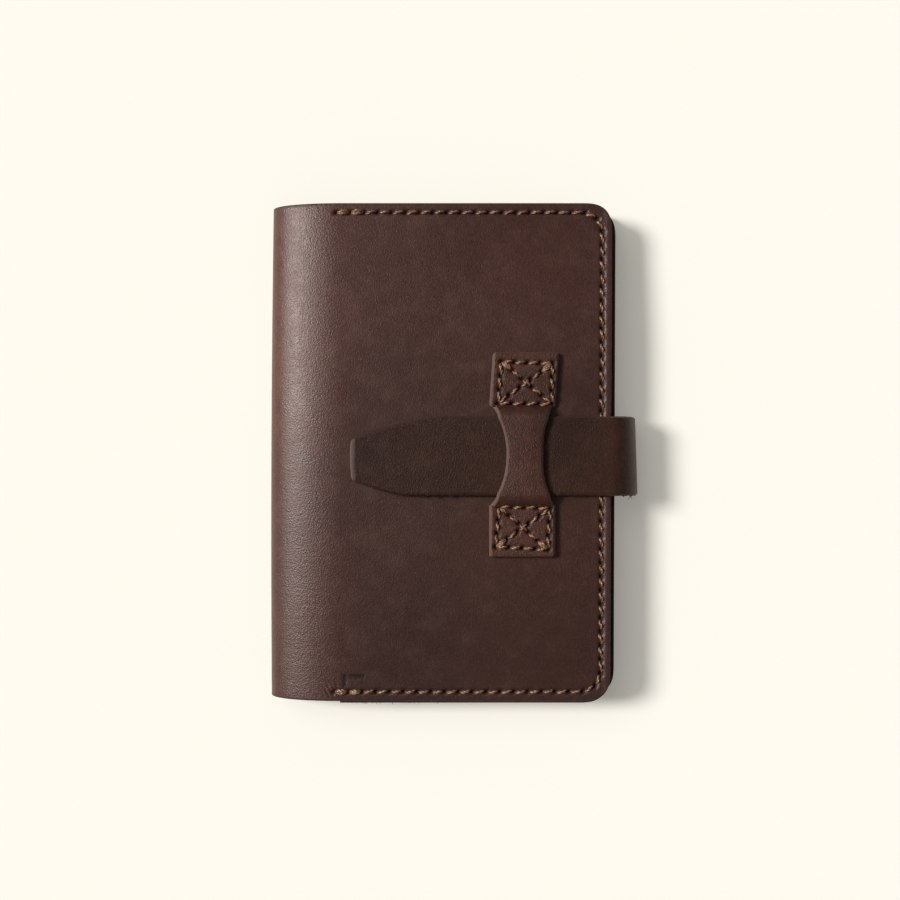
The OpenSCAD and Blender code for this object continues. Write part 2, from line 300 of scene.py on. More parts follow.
def row(p, q, count):
    """Hole points at equal steps from p to q, as stitch ends."""
    t = np.linspace(0, 1, count + 1)[:, None]
    holes = np.array(p) * (1 - t) + np.array(q) * t
    return holes[:-1], holes[1:]


def sewn_box(x, y, lean):
    """Stitch ends of a box with two diagonals: four across, three down, five along
    each diagonal. The corners are pushed off true by lean."""
    w, h = BOX_W / 2, BOX_H / 2
    corners = np.array([[-w, h], [w, h], [w, -h], [-w, -h]]) + np.array(lean) + [x, y]
    rows = [row(corners[k], corners[(k + 1) % 4], (4, 3)[k % 2]) for k in range(4)]
    rows += [row(corners[k], corners[k + 2], 5) for k in range(2)]
    return tuple(np.concatenate(ends) for ends in zip(*rows))


def twisted(start, stop, line, lift, slant, seed, again=()):
    """Two-ply stitches between hole points start and stop (n, 2), laid on a line's
    outer face. Each comes up out of its hole, lies slanted across the seam and goes
    down: its height is a power of half a sine, fullest before the middle. The plies
    are helices round that curve. Each index in again adds one more strand to that
    stitch, bowed to either side in turn, so that the strands lie as a spindle. A
    stitch with more strands is longer and straighter."""
    draw = np.random.default_rng(seed)
    again = np.array(again, int)
    bow = np.zeros((len(start) + len(again), 1))
    bow[len(start):, 0] = np.resize([KNOT_BOW, -KNOT_BOW], len(again))
    knot = np.isin(np.arange(len(start)), again)
    knot = np.concatenate([knot, knot[again]])[:, None]
    lift = np.broadcast_to(lift, len(start))
    lift = np.concatenate([lift, lift[again]])[:, None]
    start, stop = np.concatenate([start, start[again]]), np.concatenate([stop, stop[again]])
    count, stations, around = len(start), 11, 6
    way = stop - start
    length = np.linalg.norm(way, axis=1)[:, None]
    way = way / length
    side = np.stack([-way[:, 1], way[:, 0]], 1)
    t = np.linspace(0, 1, stations)[None]
    jitter = draw.normal(0, 0.05, (3, count, 1))
    arch = np.sin(np.pi * np.clip(t, 0.001, 0.999) ** 0.9) ** 0.7
    along = length * (0.5 + (t - 0.5) * (0.72 + 0.12 * knot))
    aslant = slant * (1 - 0.7 * knot) * (0.6 + 0.4 * np.abs(way[:, 1:2])) + jitter[0]
    across = aslant * np.cos(np.pi * t) + jitter[1] + bow * np.sin(np.pi * t)
    crown = 0.08 + jitter[2] + 0.25 * (bow > 0)
    high = lift + (arch - 1) * 1.25 + crown * arch
    centre = np.stack([along, across, high], -1)
    slope = np.gradient(centre, axis=1)
    slope /= np.linalg.norm(slope, axis=-1, keepdims=True)
    lateral = np.cross([0, 0, 1.0], slope)
    lateral /= np.linalg.norm(lateral, axis=-1, keepdims=True)
    upward = np.cross(slope, lateral)
    lay = 2.6
    twist = 2 * np.pi * along / lay + draw.uniform(0, 2 * np.pi, (count, 1))
    ply = np.array([0, np.pi])[None, :, None, None]
    turn = twist[:, None, :, None] + ply
    ring = np.arange(around) * 2 * np.pi / around
    fat = 0.60 * THREAD_R * np.array([0.6] + [1] * (stations - 2) + [0.6])[None, None, :, None]
    off = 0.44 * THREAD_R
    a = off * np.cos(turn) + fat * np.cos(ring)
    b = off * np.sin(turn) + fat * np.sin(ring)
    body = (centre[:, None, :, None] + a[..., None] * lateral[:, None, :, None]
            + b[..., None] * upward[:, None, :, None])
    flat = (start[:, None, None, None] + body[..., :1] * way[:, None, None, None]
            + body[..., 1:2] * side[:, None, None, None])
    return sweep(line.at(flat[..., 0], flat[..., 1], body[..., 2]))


def pressed(u, y, start, stop):
    """How a seam shapes the leather at points (u, y): depth of the groove that the
    stitches pull and of the hole at each stitch's end, and a mark of painted shade that
    is 1 in a hole, fades past its rim and lies faintly along the stitch line. A hole is
    an ellipse, turned against the stitches' slant."""
    here = np.stack([u, y], -1).reshape(-1, 1, 2)
    way = stop - start
    t = np.clip(((here - start) * way).sum(-1) / (way ** 2).sum(-1), 0, 1)
    line_gap = np.linalg.norm(here - start - t[..., None] * way, axis=-1).min(1)
    way = way / np.linalg.norm(way, axis=1)[:, None]
    way = way + 0.45 * np.stack([-way[:, 1], way[:, 0]], 1)
    way = way / np.linalg.norm(way, axis=1)[:, None]
    hole_gap = line_gap * 0 + 9
    for ends in (start, stop):
        gap = here - ends
        long_way = (gap * way).sum(-1) / HOLE_LONG
        cross_way = (gap[..., 0] * way[:, 1] - gap[..., 1] * way[:, 0]) / HOLE_WIDE
        hole_gap = np.minimum(hole_gap, np.hypot(long_way, cross_way).min(1))
    groove = 0.09 * np.exp(-(line_gap / 0.8) ** 2) - 0.02 * np.exp(-((line_gap - 1.4) / 0.7) ** 2)
    funnel = 0.95 * np.exp(-hole_gap ** 2)
    # The mark is painted shade: it darkens the holes and the groove along the stitches
    mark = np.exp(-(0.95 * hole_gap) ** 4) + 0.3 * np.exp(-(line_gap / 0.6) ** 2)
    return (groove + funnel).reshape(u.shape), np.clip(mark, 0, 1).reshape(u.shape)


# ---- Leather sheets ------------------------------------------------------------

def edge_loop(thickness, stops, under):
    """The rim's section as a loop of (inward distance, height, edge mark): along the
    top by the given stops, round the edge on half an ellipse, back under."""
    turn = np.linspace(0, np.pi, 9)
    deep = 0.24 * thickness
    lip = np.stack([deep * (1 - np.sin(turn)), thickness / 2 * (np.cos(turn) - 1),
                    np.sin(turn) ** 0.5], 1)
    top = np.stack([stops, 0 * stops, 0.8 * np.exp(-((stops - deep) / 0.35) ** 2)], 1)
    below = np.stack([under, 0 * under - thickness, 0 * under], 1)
    return np.concatenate([top, lip, below])


def sheet(line, edge, foot, thickness, seam, relief, seed, square, painted_rim_shading, marked=False):
    """A panel or sleeve in two closed shells that meet flush inside the seam: a
    rim carried round the head, fore edge and foot, and a field that fills the rest. The
    rim is c(s) + (r - d) n(s): c runs along a rectangle inset by the corner's radius,
    n points out from it, and d is the distance in from the edge; (r - d) grows by the
    share square where n is diagonal. relief gives slow waves; the rim shading is a tone of
    painted light (above 0) or painted shade (below 0) and where it starts; and a marked
    sheet has the foot's marks and a fore edge that the seam has raised."""
    r, width = CORNER_R, CORNER_R - 0.4
    x, head = edge - r, HEAD - r
    low = foot + r
    turn = np.linspace(0, np.pi / 2, 44)[1:-1]
    top = np.arange(line.end, x, 0.36)
    down = np.arange(head, low, -0.36)
    centre = np.concatenate([
        np.stack([top, 0 * top + head], 1), np.tile([x, head], (44, 1)),
        np.stack([0 * down + x, down], 1)[1:], np.tile([x, low], (44, 1)),
        np.stack([top[::-1], 0 * top + low], 1)])
    zero, quarter = [0.0], [np.pi / 2]
    angle = np.concatenate([
        0 * top, zero, turn, quarter, 0 * down[1:] + np.pi / 2,
        quarter, turn + np.pi / 2, [np.pi], 0 * top + np.pi])
    out = np.stack([np.sin(angle), np.cos(angle)], 1)
    out = out * (1 + square * np.sin(2 * angle)[:, None] ** 2)
    # Distances in from the edge, close together where the seam runs
    stops = np.concatenate([
        [width], np.arange(8.1, 5.0, -0.5), np.arange(4.7, 1.3, -0.24), [1.15, 0.8]])
    loop = edge_loop(thickness, stops, np.array([1.2, 2.2, 3.4, 5.0, width]))
    flat = centre[:, None] + (r - loop[None, :, :1]) * out[:, None]
    u, y = flat[..., 0], flat[..., 1]
    height = np.broadcast_to(loop[None, :, 1], u.shape)
    outer = (height > -0.3 * thickness).astype(float)
    depth, hole = pressed(u, y, *seam)
    bumps = relief(u, y, line, seed)
    # Tone: painted light and sheen over the sheet, plus the rim's painted light (front) or painted
    # shade (back and sleeves)
    tone = painted_light(u, y, outer) + painted_rim_shading[0] * smooth(u, painted_rim_shading[1], painted_rim_shading[1] + 1)
    if marked:
        # The foot marks' tone includes painted highlights beside the dents
        dent, shade = foot_marks(u, y)
        above = np.clip(1 + 2 * height / thickness, 0, 1)
        depth = depth + dent - 0.2 * smooth(u, edge - 3, edge - 1.2) * above
        tone = tone + shade * outer
    rim = sweep(line.at(u, y, height - depth * outer + bumps), {
        "edge": np.broadcast_to(loop[None, :, 2], u.shape) + 0.0, "hole": hole * outer,
        "tone": tone})

    along = np.concatenate([np.arange(line.end, X_FLAT, 0.5), np.arange(X_FLAT, x + 0.4, 1.3)])
    along[-1] = edge - width
    across = np.linspace(foot + width, HEAD - width, 68)
    top_y = np.concatenate([across, across[::-1]])
    top_h = np.concatenate([0 * across, 0 * across - thickness])
    u, y = np.meshgrid(along, top_y, indexing="ij")
    h = np.broadcast_to(top_h, u.shape)
    bumps = relief(u, y, line, seed)
    field = sweep(line.at(u, y, h + bumps), {
        "edge": 0 * u, "hole": 0 * u, "tone": painted_light(u, y, h > -0.5 * thickness)})
    return [rim, field]


def painted_light(u, y, outer):
    """Painted light as tone: paler by the spine and towards the head, darker at the foot
    and the fore edge, as the light from the spine's side and the head falls; and paler
    still where the outer face bends round the spine: a painted sheen band and a painted lit rim."""
    # Painted light: a slow falloff, then a painted sheen band on the shoulder and a painted lit rim
    # at the spine
    return (0.16 * smooth(-u, 5, 45) + 0.10 * smooth(y, -30, 60) - 0.14 * smooth(-y, 5, 60)
            - 0.05 * smooth(u, 0, 50)
            + outer * (0.35 * smooth(-u, 26, 42) + 0.5 * smooth(-u, 49, 58)))


def foot_marks(u, y):
    """Marks left by the sewing machine's foot near the foot seam's start, as depth and
    tone: an upright bar with a painted highlight line along its right side, where it faces
    the light, a level bar, two short strokes further on, and on the spine's side a pale
    patch among ripples, a painted highlight where they catch the sheen."""
    tall = within(y, (-72.0, -71.5), (-67.9, -67.3))
    upright = within(u, (-34.1, -33.6), (-32.8, -32.3)) * tall
    level = within(u, (-32.2, -31.8), (-27.6, -26.6)) * within(y, (-69.4, -68.7), (-67.9, -67.3))
    inside = within(u, (-34.0, -33.4), (-27.4, -26.4)) * tall
    # A painted highlight: the lit line beside the upright bar
    painted_lit_line = np.exp(-((u + 32.0) / 0.3) ** 2) * tall
    ripple = (np.sin(4.4 * (u + 0.6 * y)) * within(u, (-41, -38.5), (-35.8, -34.6))
              * within(y, (-75, -73.5), (-71, -69.5)))
    slant = u - 38.6 + 0.9 * (y + 68.4)
    strokes = (np.exp(-((np.abs(slant) - 1.1) / 0.45) ** 2)
               * within(y, (-70.0, -69.2), (-67.8, -67.0)))
    # A painted highlight: the sheen on the ripples by the spine
    painted_sheen_patch = np.exp(-((u + 37.7) ** 2 + (y + 72) ** 2) / 1.3)
    dent = np.clip(upright + 0.8 * level, 0, 1)
    return (0.1 * dent + 0.12 * ripple + 0.06 * strokes,
            0.5 * painted_sheen_patch + 0.4 * painted_lit_line + 0.3 * strokes - 0.65 * dent - 0.2 * inside)


def unevenness(u, y, line, seed):
    """Slow waves in the hide that die away towards the spine's outermost line."""
    return waves(u, y, (95, 60, 41, 27), 0.07, seed) * smooth(u, line.end, line.end + 18)


# ---- Strap and keeper ----------------------------------------------------------

def strap_centre():
    """The strap's inner line in three parts: from the tip over the front, lying
    closer to it at the tip; round the two elliptic quarters of the bend; and back
    under the cover to the end of the tail."""
    lie = X_TIP + (X_EDGE - X_TIP) * np.linspace(0, 1, 170) ** 1.3
    rest = STRAP_REST - 0.30 * smooth(-lie, -X_TIP - 34, -X_TIP)
    over = np.stack([lie, Z_FRONT + rest], 1)
    t = np.linspace(0, np.pi, 60)[1:]
    rise_z = (over[-1, 1] + STRAP_T) / 2
    x_under = TAIL_HIGH[0]
    start = np.where(t < np.pi / 2, X_EDGE, x_under)
    out = X_LOOP - start
    outer = np.stack([start + out * np.sin(t), rise_z * (1 + np.cos(t))], 1)
    inner = outer - STRAP_T * left_of(outer)
    tail = np.linspace(x_under, TAIL_LOW[0], 80)[1:]
    return over, inner, np.stack([tail, 0 * tail + STRAP_T], 1)


def strap_half(run, upper):
    """Half width on one side at a distance from the tip. The tip is blunt, drawn in
    on a curve, longer on the upper side, with its corners just rounded off. The cut
    wavers at random, more on the lower side."""
    half, tip, taper = (12.1, 5.3, 29.0) if upper else (12.1, 7.6, 17.0)
    bow = 1 - (1 - np.clip(run / taper, 0, 1)) ** (1.75 if upper else 1.35)
    corner_r = 1.2
    nose = corner_r * (1 - np.sqrt(1 - (1 - np.clip(run / corner_r, 0, 1)) ** 2))
    fray = np.random.default_rng(3).normal(0, 0.015 if upper else 0.06, len(run))
    return tip + (half - tip) * bow - nose + fray * np.clip(run / 8, 0, 1)


def strip_loop(left, right, thickness, columns, lip):
    """Loop across a strip from -left to right: columns over the top, round each edge
    on half a superellipse that is nearly a chamfer, and back under. Returns across,
    height and edge mark."""
    turn = np.linspace(0, np.pi, 11)[1:-1]
    bulge = np.sin(turn) ** CHAMFER
    share = np.linspace(0, 1, columns)
    inner_left, inner_right = -left + lip, right - lip
    top = inner_left[:, None] + (inner_right - inner_left)[:, None] * share
    right_lip = inner_right[:, None] + lip * bulge
    left_lip = inner_left[:, None] - lip * bulge
    across = np.concatenate([top, right_lip, top[:, ::-1], left_lip], 1)
    turn_high = thickness / 2 * (1 + np.sign(np.cos(turn)) * np.abs(np.cos(turn)) ** CHAMFER)
    high = np.concatenate([0 * share + thickness, turn_high, 0 * share, turn_high[::-1]])
    mark = np.concatenate([0 * share, bulge ** 0.3, 0 * share, bulge ** 0.3])
    return across, high, mark


def strip_on(path, left, right, thickness, columns, lip, y, end_lips, end_lip, shape=None):
    """A strip laid on an inner line path (n, 2) in X and Z, its thickness square to
    the line on the left-hand side of travel. end_lips says which of its two ends
    thins to a lip, and shape adds a height."""
    run = travelled(path)
    out = left_of(path, run)
    across, high, mark = strip_loop(left, right, thickness, columns, lip)
    ends = [gap for gap, thins in zip((run, run[-1] - run), end_lips) if thins]
    near = np.min(ends, axis=0)
    thin = np.clip(1 - (1 - np.clip(near / end_lip, 0, 1)) ** (2 / CHAMFER), 0.02, 1) ** (CHAMFER / 2)
    height = thickness / 2 + (high[None] - thickness / 2) * thin[:, None]
    if shape is not None:
        height = height + shape(run[:, None] + 0 * across, across, high[None] + 0 * across)
    edge = np.maximum(0.25 * mark[None] + 0 * across, 1 - thin[:, None])
    x = path[:, None, 0] + height * out[:, None, 0]
    z = path[:, None, 1] + height * out[:, None, 1]
    return settled(x, y + across, z), edge


def keeper_sides(y):
    """The keeper's left and right edges at y from its middle: full over the pads,
    drawn in on a power curve to the waist, the pads' corners rounded off over a
    millimetre, and the hand-cut outline leaning and wavering a little."""
    pad = KEEPER_REACH - 16.0
    waist = 5.57
    full = (KEEPER_HIGH[0] - KEEPER_LOW[0]) / 2 - 0.15
    half = waist + (full - waist) * np.clip(np.abs(y) / pad, 0, 1) ** 2.5
    near = np.clip(KEEPER_REACH - np.abs(y), 0, 1)
    half = half - (1 - np.sqrt(1 - (1 - near) ** 2))
    lean = np.interp(y, [-KEEPER_REACH, -pad, 0, pad, KEEPER_REACH],
                     [-0.6, -0.65, -0.07, -0.75, 0.3])
    ragged = np.random.default_rng(4).normal(0, 0.035, (2, len(y)))
    return half - lean + ragged[0], half + lean + ragged[1]


def fibres(roots, lean, seed, reach=0.85):
    """Loose fibres at a cut edge: tapered hairs from the roots that start along
    lean, each with its own length, up to reach, and its own curl, on a quadratic
    curve. Each is a four-sided tube."""
    draw = np.random.default_rng(seed)
    n = len(roots)
    t = np.linspace(0, 1, 5)[None, :, None]
    length = draw.uniform(0.3, reach, (n, 1, 1)) ** 1.4
    curl = draw.normal(0, 0.45, (n, 1, 3))
    centre = roots[:, None] + length * (t * (lean[:, None] + curl) + t ** 2 * curl[:, :, ::-1])
    ring = np.arange(4) * np.pi / 2
    thick = (0.13 - 0.09 * t[..., None]) * np.stack([np.cos(ring), np.sin(ring), 0 * ring], -1)
    turned = thick[..., [0, 2, 1]] + thick[..., [1, 2, 0]] * [1, 0, 0]
    return sweep(centre[:, :, None] + turned, {
        "edge": np.zeros((n, 5, 4)), "hole": np.full((n, 5, 4), 0.6)})


# ---- Materials -----------------------------------------------------------------

def linear(hex_colour):
    """A colour written as sRGB hex, turned to linear light."""
    value = np.array([int(hex_colour[k:k + 2], 16) for k in (1, 3, 5)]) / 255
    value = np.where(value <= 0.04045, value / 12.92, ((value + 0.055) / 1.055) ** 2.4)
    return (*value.tolist(), 1.0)


def add(tree, kind, inputs=None, **settings):
    """Adds a node with its settings. An input is a value or another node's socket."""
    made = tree.nodes.new(kind)
    for key, value in settings.items():
        setattr(made, key, value)
    for key, value in (inputs or {}).items():
        if isinstance(value, bpy.types.NodeSocket):
            tree.links.new(value, made.inputs[key])
        else:
            made.inputs[key].default_value = value
    return made


def start_material(name):
    """A new material and its node tree, emptied."""
    made = bpy.data.materials.new(name)
    made.use_nodes = True
    made.node_tree.nodes.clear()
    return made, made.node_tree


def vegetable_tanned_leather(name, deep, warm, worn, cut, rough, shine, grain=0.5, relief=1.0):
    """Vegetable-tanned cowhide, waxed and struck through with dye. The colour drifts
    over centimetres and rubs paler in patches; the grain is a fine pebble, grain
    millimetres across and drawn coarser than a real one so that it shows, with pores
    and long faint creases; cut edges take the colour cut. Needle holes and a faint line
    along each seam are painted near black as shade, and the tone attribute brings the
    sheet's painted light, sheen and shade and its foot marks."""
    made, tree = start_material(name)
    place = add(tree, "ShaderNodeTexCoord").outputs["Object"]
    edge = add(tree, "ShaderNodeAttribute", attribute_name="edge").outputs["Fac"]
    hole = add(tree, "ShaderNodeAttribute", attribute_name="hole").outputs["Fac"]
    tone = add(tree, "ShaderNodeAttribute", attribute_name="tone").outputs["Fac"]
    drift = add(tree, "ShaderNodeTexNoise", {
        "Vector": place, "Scale": 1 / (55 * MM), "Detail": 2.0, "Roughness": 0.5}).outputs["Fac"]
    rub = add(tree, "ShaderNodeTexNoise", {
        "Vector": place, "Scale": 1 / (6 * MM), "Detail": 6.0, "Roughness": 0.65}).outputs["Fac"]
    fleck = add(tree, "ShaderNodeTexNoise", {
        "Vector": place, "Scale": 1 / (0.8 * MM), "Detail": 4.0, "Roughness": 0.7}).outputs["Fac"]
    drifted = add(tree, "ShaderNodeMapRange", {"Value": drift, "From Min": 0.35, "From Max": 0.65})
    base = add(tree, "ShaderNodeMix", {
        0: drifted.outputs[0], 6: linear(deep), 7: linear(warm)}, data_type="RGBA")
    rubbed = add(tree, "ShaderNodeMapRange", {
        "Value": rub, "From Min": 0.5, "From Max": 0.8, "To Max": 0.3})
    paler = add(tree, "ShaderNodeMix", {
        0: rubbed.outputs[0], 6: base.outputs[2], 7: linear(worn)}, data_type="RGBA")
    flecked = add(tree, "ShaderNodeMapRange", {
        "Value": fleck, "From Min": 0.3, "From Max": 0.7, "To Min": 0.68, "To Max": 1.32})
    shade = add(tree, "ShaderNodeMath", {0: tone, 1: 1.0}, operation="ADD").outputs[0]
    shaded = add(tree, "ShaderNodeMath", {
        0: shade, 1: flecked.outputs[0]}, operation="MULTIPLY").outputs[0]
    toned = add(tree, "ShaderNodeMix", {
        0: 1.0, 6: paler.outputs[2], 7: shaded}, data_type="RGBA", blend_type="MULTIPLY")
    burnt = add(tree, "ShaderNodeMath", {0: edge, 1: 0.8}, operation="MULTIPLY").outputs[0]
    edged = add(tree, "ShaderNodeMix", {
        0: burnt, 6: toned.outputs[2], 7: linear(cut)}, data_type="RGBA")
    # Painted shade: needle holes and the groove along each seam go near black
    painted_hole_shade = add(tree, "ShaderNodeMix", {
        0: hole, 6: edged.outputs[2], 7: linear("#0c0402")}, data_type="RGBA")
    cells = add(tree, "ShaderNodeTexVoronoi", {
        "Vector": place, "Scale": 1 / (grain * MM)}, feature="SMOOTH_F1").outputs["Distance"]
    pores = add(tree, "ShaderNodeTexNoise", {
        "Vector": place, "Scale": 1 / (0.33 * MM), "Detail": 3.0}).outputs["Fac"]
    stretched = add(tree, "ShaderNodeMapping", {
        "Vector": place, "Scale": (1 / (22 * MM), 1 / (1.6 * MM), 1 / (22 * MM))}).outputs[0]
    crease = add(tree, "ShaderNodeTexNoise", {
        "Vector": stretched, "Scale": 1.0, "Detail": 3.0, "Roughness": 0.6}).outputs["Fac"]
    fine = add(tree, "ShaderNodeBump", {
        "Height": cells, "Strength": 1.0, "Distance": relief * 0.075 * MM})
    finer = add(tree, "ShaderNodeBump", {
        "Height": pores, "Strength": 1.0, "Distance": relief * 0.065 * MM, "Normal": fine.outputs[0]})
    lined = add(tree, "ShaderNodeBump", {
        "Height": crease, "Strength": 0.5, "Distance": 0.08 * MM, "Normal": finer.outputs[0]})
    broad = add(tree, "ShaderNodeBump", {
        "Height": rub, "Strength": 0.5, "Distance": 0.07 * MM, "Normal": lined.outputs[0]})
    gloss = add(tree, "ShaderNodeMapRange", {
        "Value": rub, "From Min": 0.3, "From Max": 0.7,
        "To Min": rough - 0.05, "To Max": rough + 0.05})
    raw = add(tree, "ShaderNodeMath", {0: hole, 1: edge}, operation="MAXIMUM").outputs[0]
    dull = add(tree, "ShaderNodeMath", {
        0: raw, 1: 0.4, 2: gloss.outputs[0]}, operation="MULTIPLY_ADD").outputs[0]
    surface = add(tree, "ShaderNodeBsdfPrincipled", {
        "Base Color": painted_hole_shade.outputs[2], "Roughness": dull, "IOR": 1.5,
        "Specular IOR Level": shine, "Specular Tint": linear("#fff0ea"),
        "Normal": broad.outputs[0]})
    add(tree, "ShaderNodeOutputMaterial", {"Surface": surface.outputs[0]})
    return made


def waxed_thread():
    """Waxed polyester thread, golden brown: the wax gives each ply a soft gloss, and the
    colour is darker where the fibre bump is low, painted shade in the hollows between fibres."""
    made, tree = start_material("waxed_thread")
    place = add(tree, "ShaderNodeTexCoord").outputs["Object"]
    fibre = add(tree, "ShaderNodeTexNoise", {
        "Vector": place, "Scale": 1 / (0.9 * MM), "Detail": 4.0}).outputs["Fac"]
    tone = add(tree, "ShaderNodeMapRange", {"Value": fibre, "From Min": 0.3, "From Max": 0.7})
    # Painted shade: the darker colour falls where the fibre bump is low
    colour = add(tree, "ShaderNodeMix", {
        0: tone.outputs[0], 6: linear("#5c3920"), 7: linear("#aa7c55")}, data_type="RGBA")
    bump = add(tree, "ShaderNodeBump", {
        "Height": fibre, "Strength": 0.4, "Distance": 0.05 * MM})
    surface = add(tree, "ShaderNodeBsdfPrincipled", {
        "Base Color": colour.outputs[2], "Roughness": 0.32, "IOR": 1.54,
        "Specular IOR Level": 1.0, "Normal": bump.outputs[0]})
    add(tree, "ShaderNodeOutputMaterial", {"Surface": surface.outputs[0]})
    return made


def opal_acrylic():
    """Opal acrylic table, cream, lit faintly from below so that shadows stay soft."""
    made, tree = start_material("opal_acrylic")
    surface = add(tree, "ShaderNodeBsdfPrincipled", {
        "Base Color": linear("#f3efe4"), "Roughness": 0.9, "Specular IOR Level": 0.0,
        "Emission Color": linear("#fffbf0"), "Emission Strength": 0.22})
    add(tree, "ShaderNodeOutputMaterial", {"Surface": surface.outputs[0]})
    return made


HIDE = vegetable_tanned_leather(
    "hide_leather", deep="#361d17", warm="#40241c", worn="#5c3a2f", cut="#120d0c",
    rough=0.41, shine=0.66, grain=0.4, relief=0.9)
SLEEVE = vegetable_tanned_leather(
    "sleeve_leather", deep="#4a3026", warm="#573a2c", worn="#6e4f3e", cut="#1c1412",
    rough=0.55, shine=0.4)
STRAP = vegetable_tanned_leather(
    "strap_leather", deep="#2d1b15", warm="#3e261b", worn="#573a2d", cut="#806c60",
    rough=0.43, shine=0.27, grain=0.34, relief=1.6)
KEEPER = vegetable_tanned_leather(
    "keeper_leather", deep="#3b2219", warm="#4b2b20", worn="#6a4435", cut="#7d695e",
    rough=0.42, shine=0.46, grain=0.34, relief=1.8)
THREAD = waxed_thread()


# ---- The cover -----------------------------------------------------------------

def hide():
    """The hide in two pieces that meet on the spine's outermost line."""
    holes = seam_path(X_FRONT)
    # The front's fore-edge rim, from 2.8 mm inside the panel's edge, is painted 0.22 lighter: a
    # painted highlight
    front = piece("hide_front", sheet(
        FRONT_LINE, X_FRONT, FOOT, HIDE_T, (holes[:-1], holes[1:]), unevenness, 3,
        square=0.1, painted_rim_shading=(0.22, X_EDGE - 2.8), marked=True), HIDE)
    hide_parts("front_panel", "spine_panel")
    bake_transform(front)
    holes = seam_path(X_BACK_EDGE)
    # The back's band past the front's edge is painted 0.3 darker: painted shade where the front
    # shadows it
    back = piece("hide_back", sheet(
        BACK_LINE, X_BACK_EDGE, FOOT, HIDE_T, (holes[:-1], holes[1:]), unevenness, 5,
        square=0.14, painted_rim_shading=(-0.3, X_EDGE)), HIDE)
    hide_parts("back_panel")
    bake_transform(back)


def sleeves():
    """A sleeve inside each panel, sewn through on three sides. Short fibres stand
    out at the front one's foot, most of them by the seam's start."""
    fuzz = 60
    still = lambda u, y, line, seed: waves(u, y, (70, 43, 30), 0.05, seed)
    for name, line, edge, foot in (
            ("front", FRONT_SLEEVE_LINE, X_EDGE, FRONT_SLEEVE_LOW[1]),
            ("back", BACK_SLEEVE_LINE, X_BACK_EDGE, FOOT)):
        holes = seam_path(edge)
        inside = holes[holes[:, 0] > line.end + 1]
        # Each sleeve's band at the fore edge is painted 0.4 darker: painted shade in the gap under
        # the front's edge
        shells = sheet(line, edge, foot, SLEEVE_T, (inside[:-1], inside[1:]), still, 11,
                       square=0.1, painted_rim_shading=(-0.4, X_EDGE - 0.6))
        if name == "front":
            run = np.random.default_rng(6).triangular(X_FLAT, X_FLAT + 3, 0, fuzz)
            roots = line.at(run, foot + 0.1 + 0 * run, -0.5 * SLEEVE_T + 0 * run)
            shells.append(fibres(roots, np.tile([0.2, -0.6, 0.0], (fuzz, 1)), 12, 0.45))
        lining = piece(f"{name}_sleeve_leather", shells, SLEEVE)
        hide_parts(f"{name}_sleeve")
        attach(lining, name)


def edge_seams():
    """The seam round three sides of each panel, needle thread out, bobbin thread in,
    with the first two stitches at each end sewn three times. Under the back a stitch
    stays above the table."""
    for name, outer, inner, edge in (
            ("front", FRONT_LINE, FRONT_SLEEVE_LINE, X_FRONT),
            ("back", BACK_LINE, BACK_SLEEVE_LINE, X_BACK_EDGE)):
        holes = seam_path(edge)
        start, stop = holes[:-1], holes[1:]
        last = len(start) - 1
        again = (0, 0, 1, 1, last, last, last - 1, last - 1)
        for side, line, slant, seed in (("needle", outer, -0.4, 21), ("bobbin", inner, 0.4, 22)):
            lift = SEAM_LIFT
            if line is BACK_LINE:
                lift = np.minimum(rise(start[:, 0])[:, 1] - TABLE_ROOM, SEAM_LIFT)
            made = piece(f"{name}_seam_{side}_stitches", [
                twisted(start, stop, line, lift, slant, seed, again)], THREAD, 80)
            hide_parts(f"{name}_seam_{side}_thread")
            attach(made, name)


def keeper():
    """The keeper: a strip that lies on the panel, arches over the strap on a smooth
    step to either side, with a low crown over the arch, and is sewn down at both pads
    with a box and its diagonals."""
    lip = 0.7
    y = np.linspace(-KEEPER_REACH, KEEPER_REACH, 260)
    span = STRAP_W / 2 + 0.3
    over = 1 - smooth(np.abs(y + KEEPER_Y - STRAP_Y), span - 1.0, span + 2.4)
    lift = STRAP_REST + STRAP_T + 0.15
    path = np.stack([y, Z_FRONT + lift * over], 1)
    out = left_of(path, travelled(path))
    left, right = keeper_sides(y)
    half = (left + right) / 2
    across, high, mark = strip_loop(left, right, KEEPER_T, 64, lip)
    near = KEEPER_REACH - np.abs(y)
    thin = np.sqrt(np.clip(1 - (1 - np.clip(near / lip, 0, 1)) ** 2, 0.02, 1))
    height = KEEPER_T / 2 + (high[None] - KEEPER_T / 2) * thin[:, None]
    flat_y = y[:, None] + 0 * across + KEEPER_Y
    depth, hole = pressed(across + KEEPER_X, flat_y, *KEEPER_STITCHES)
    top = (np.broadcast_to(high, across.shape) > 0.7 * KEEPER_T) * 1.0
    crown = 0.25 * over[:, None] * np.clip(1 - (across / half[:, None]) ** 2, 0, 1) * top
    height = height - depth * top + crown
    grid = settled(
        KEEPER_X + across, KEEPER_Y + path[:, None, 0] + height * out[:, None, 0],
        path[:, None, 1] + height * out[:, None, 1])
    edge = np.maximum(mark[None] + 0 * across, 1 - thin[:, None]) * 0.8
    made = piece("keeper_strip", [sweep(grid, {"edge": edge, "hole": hole * top})], KEEPER)
    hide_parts("keeper")
    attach(made, "front")


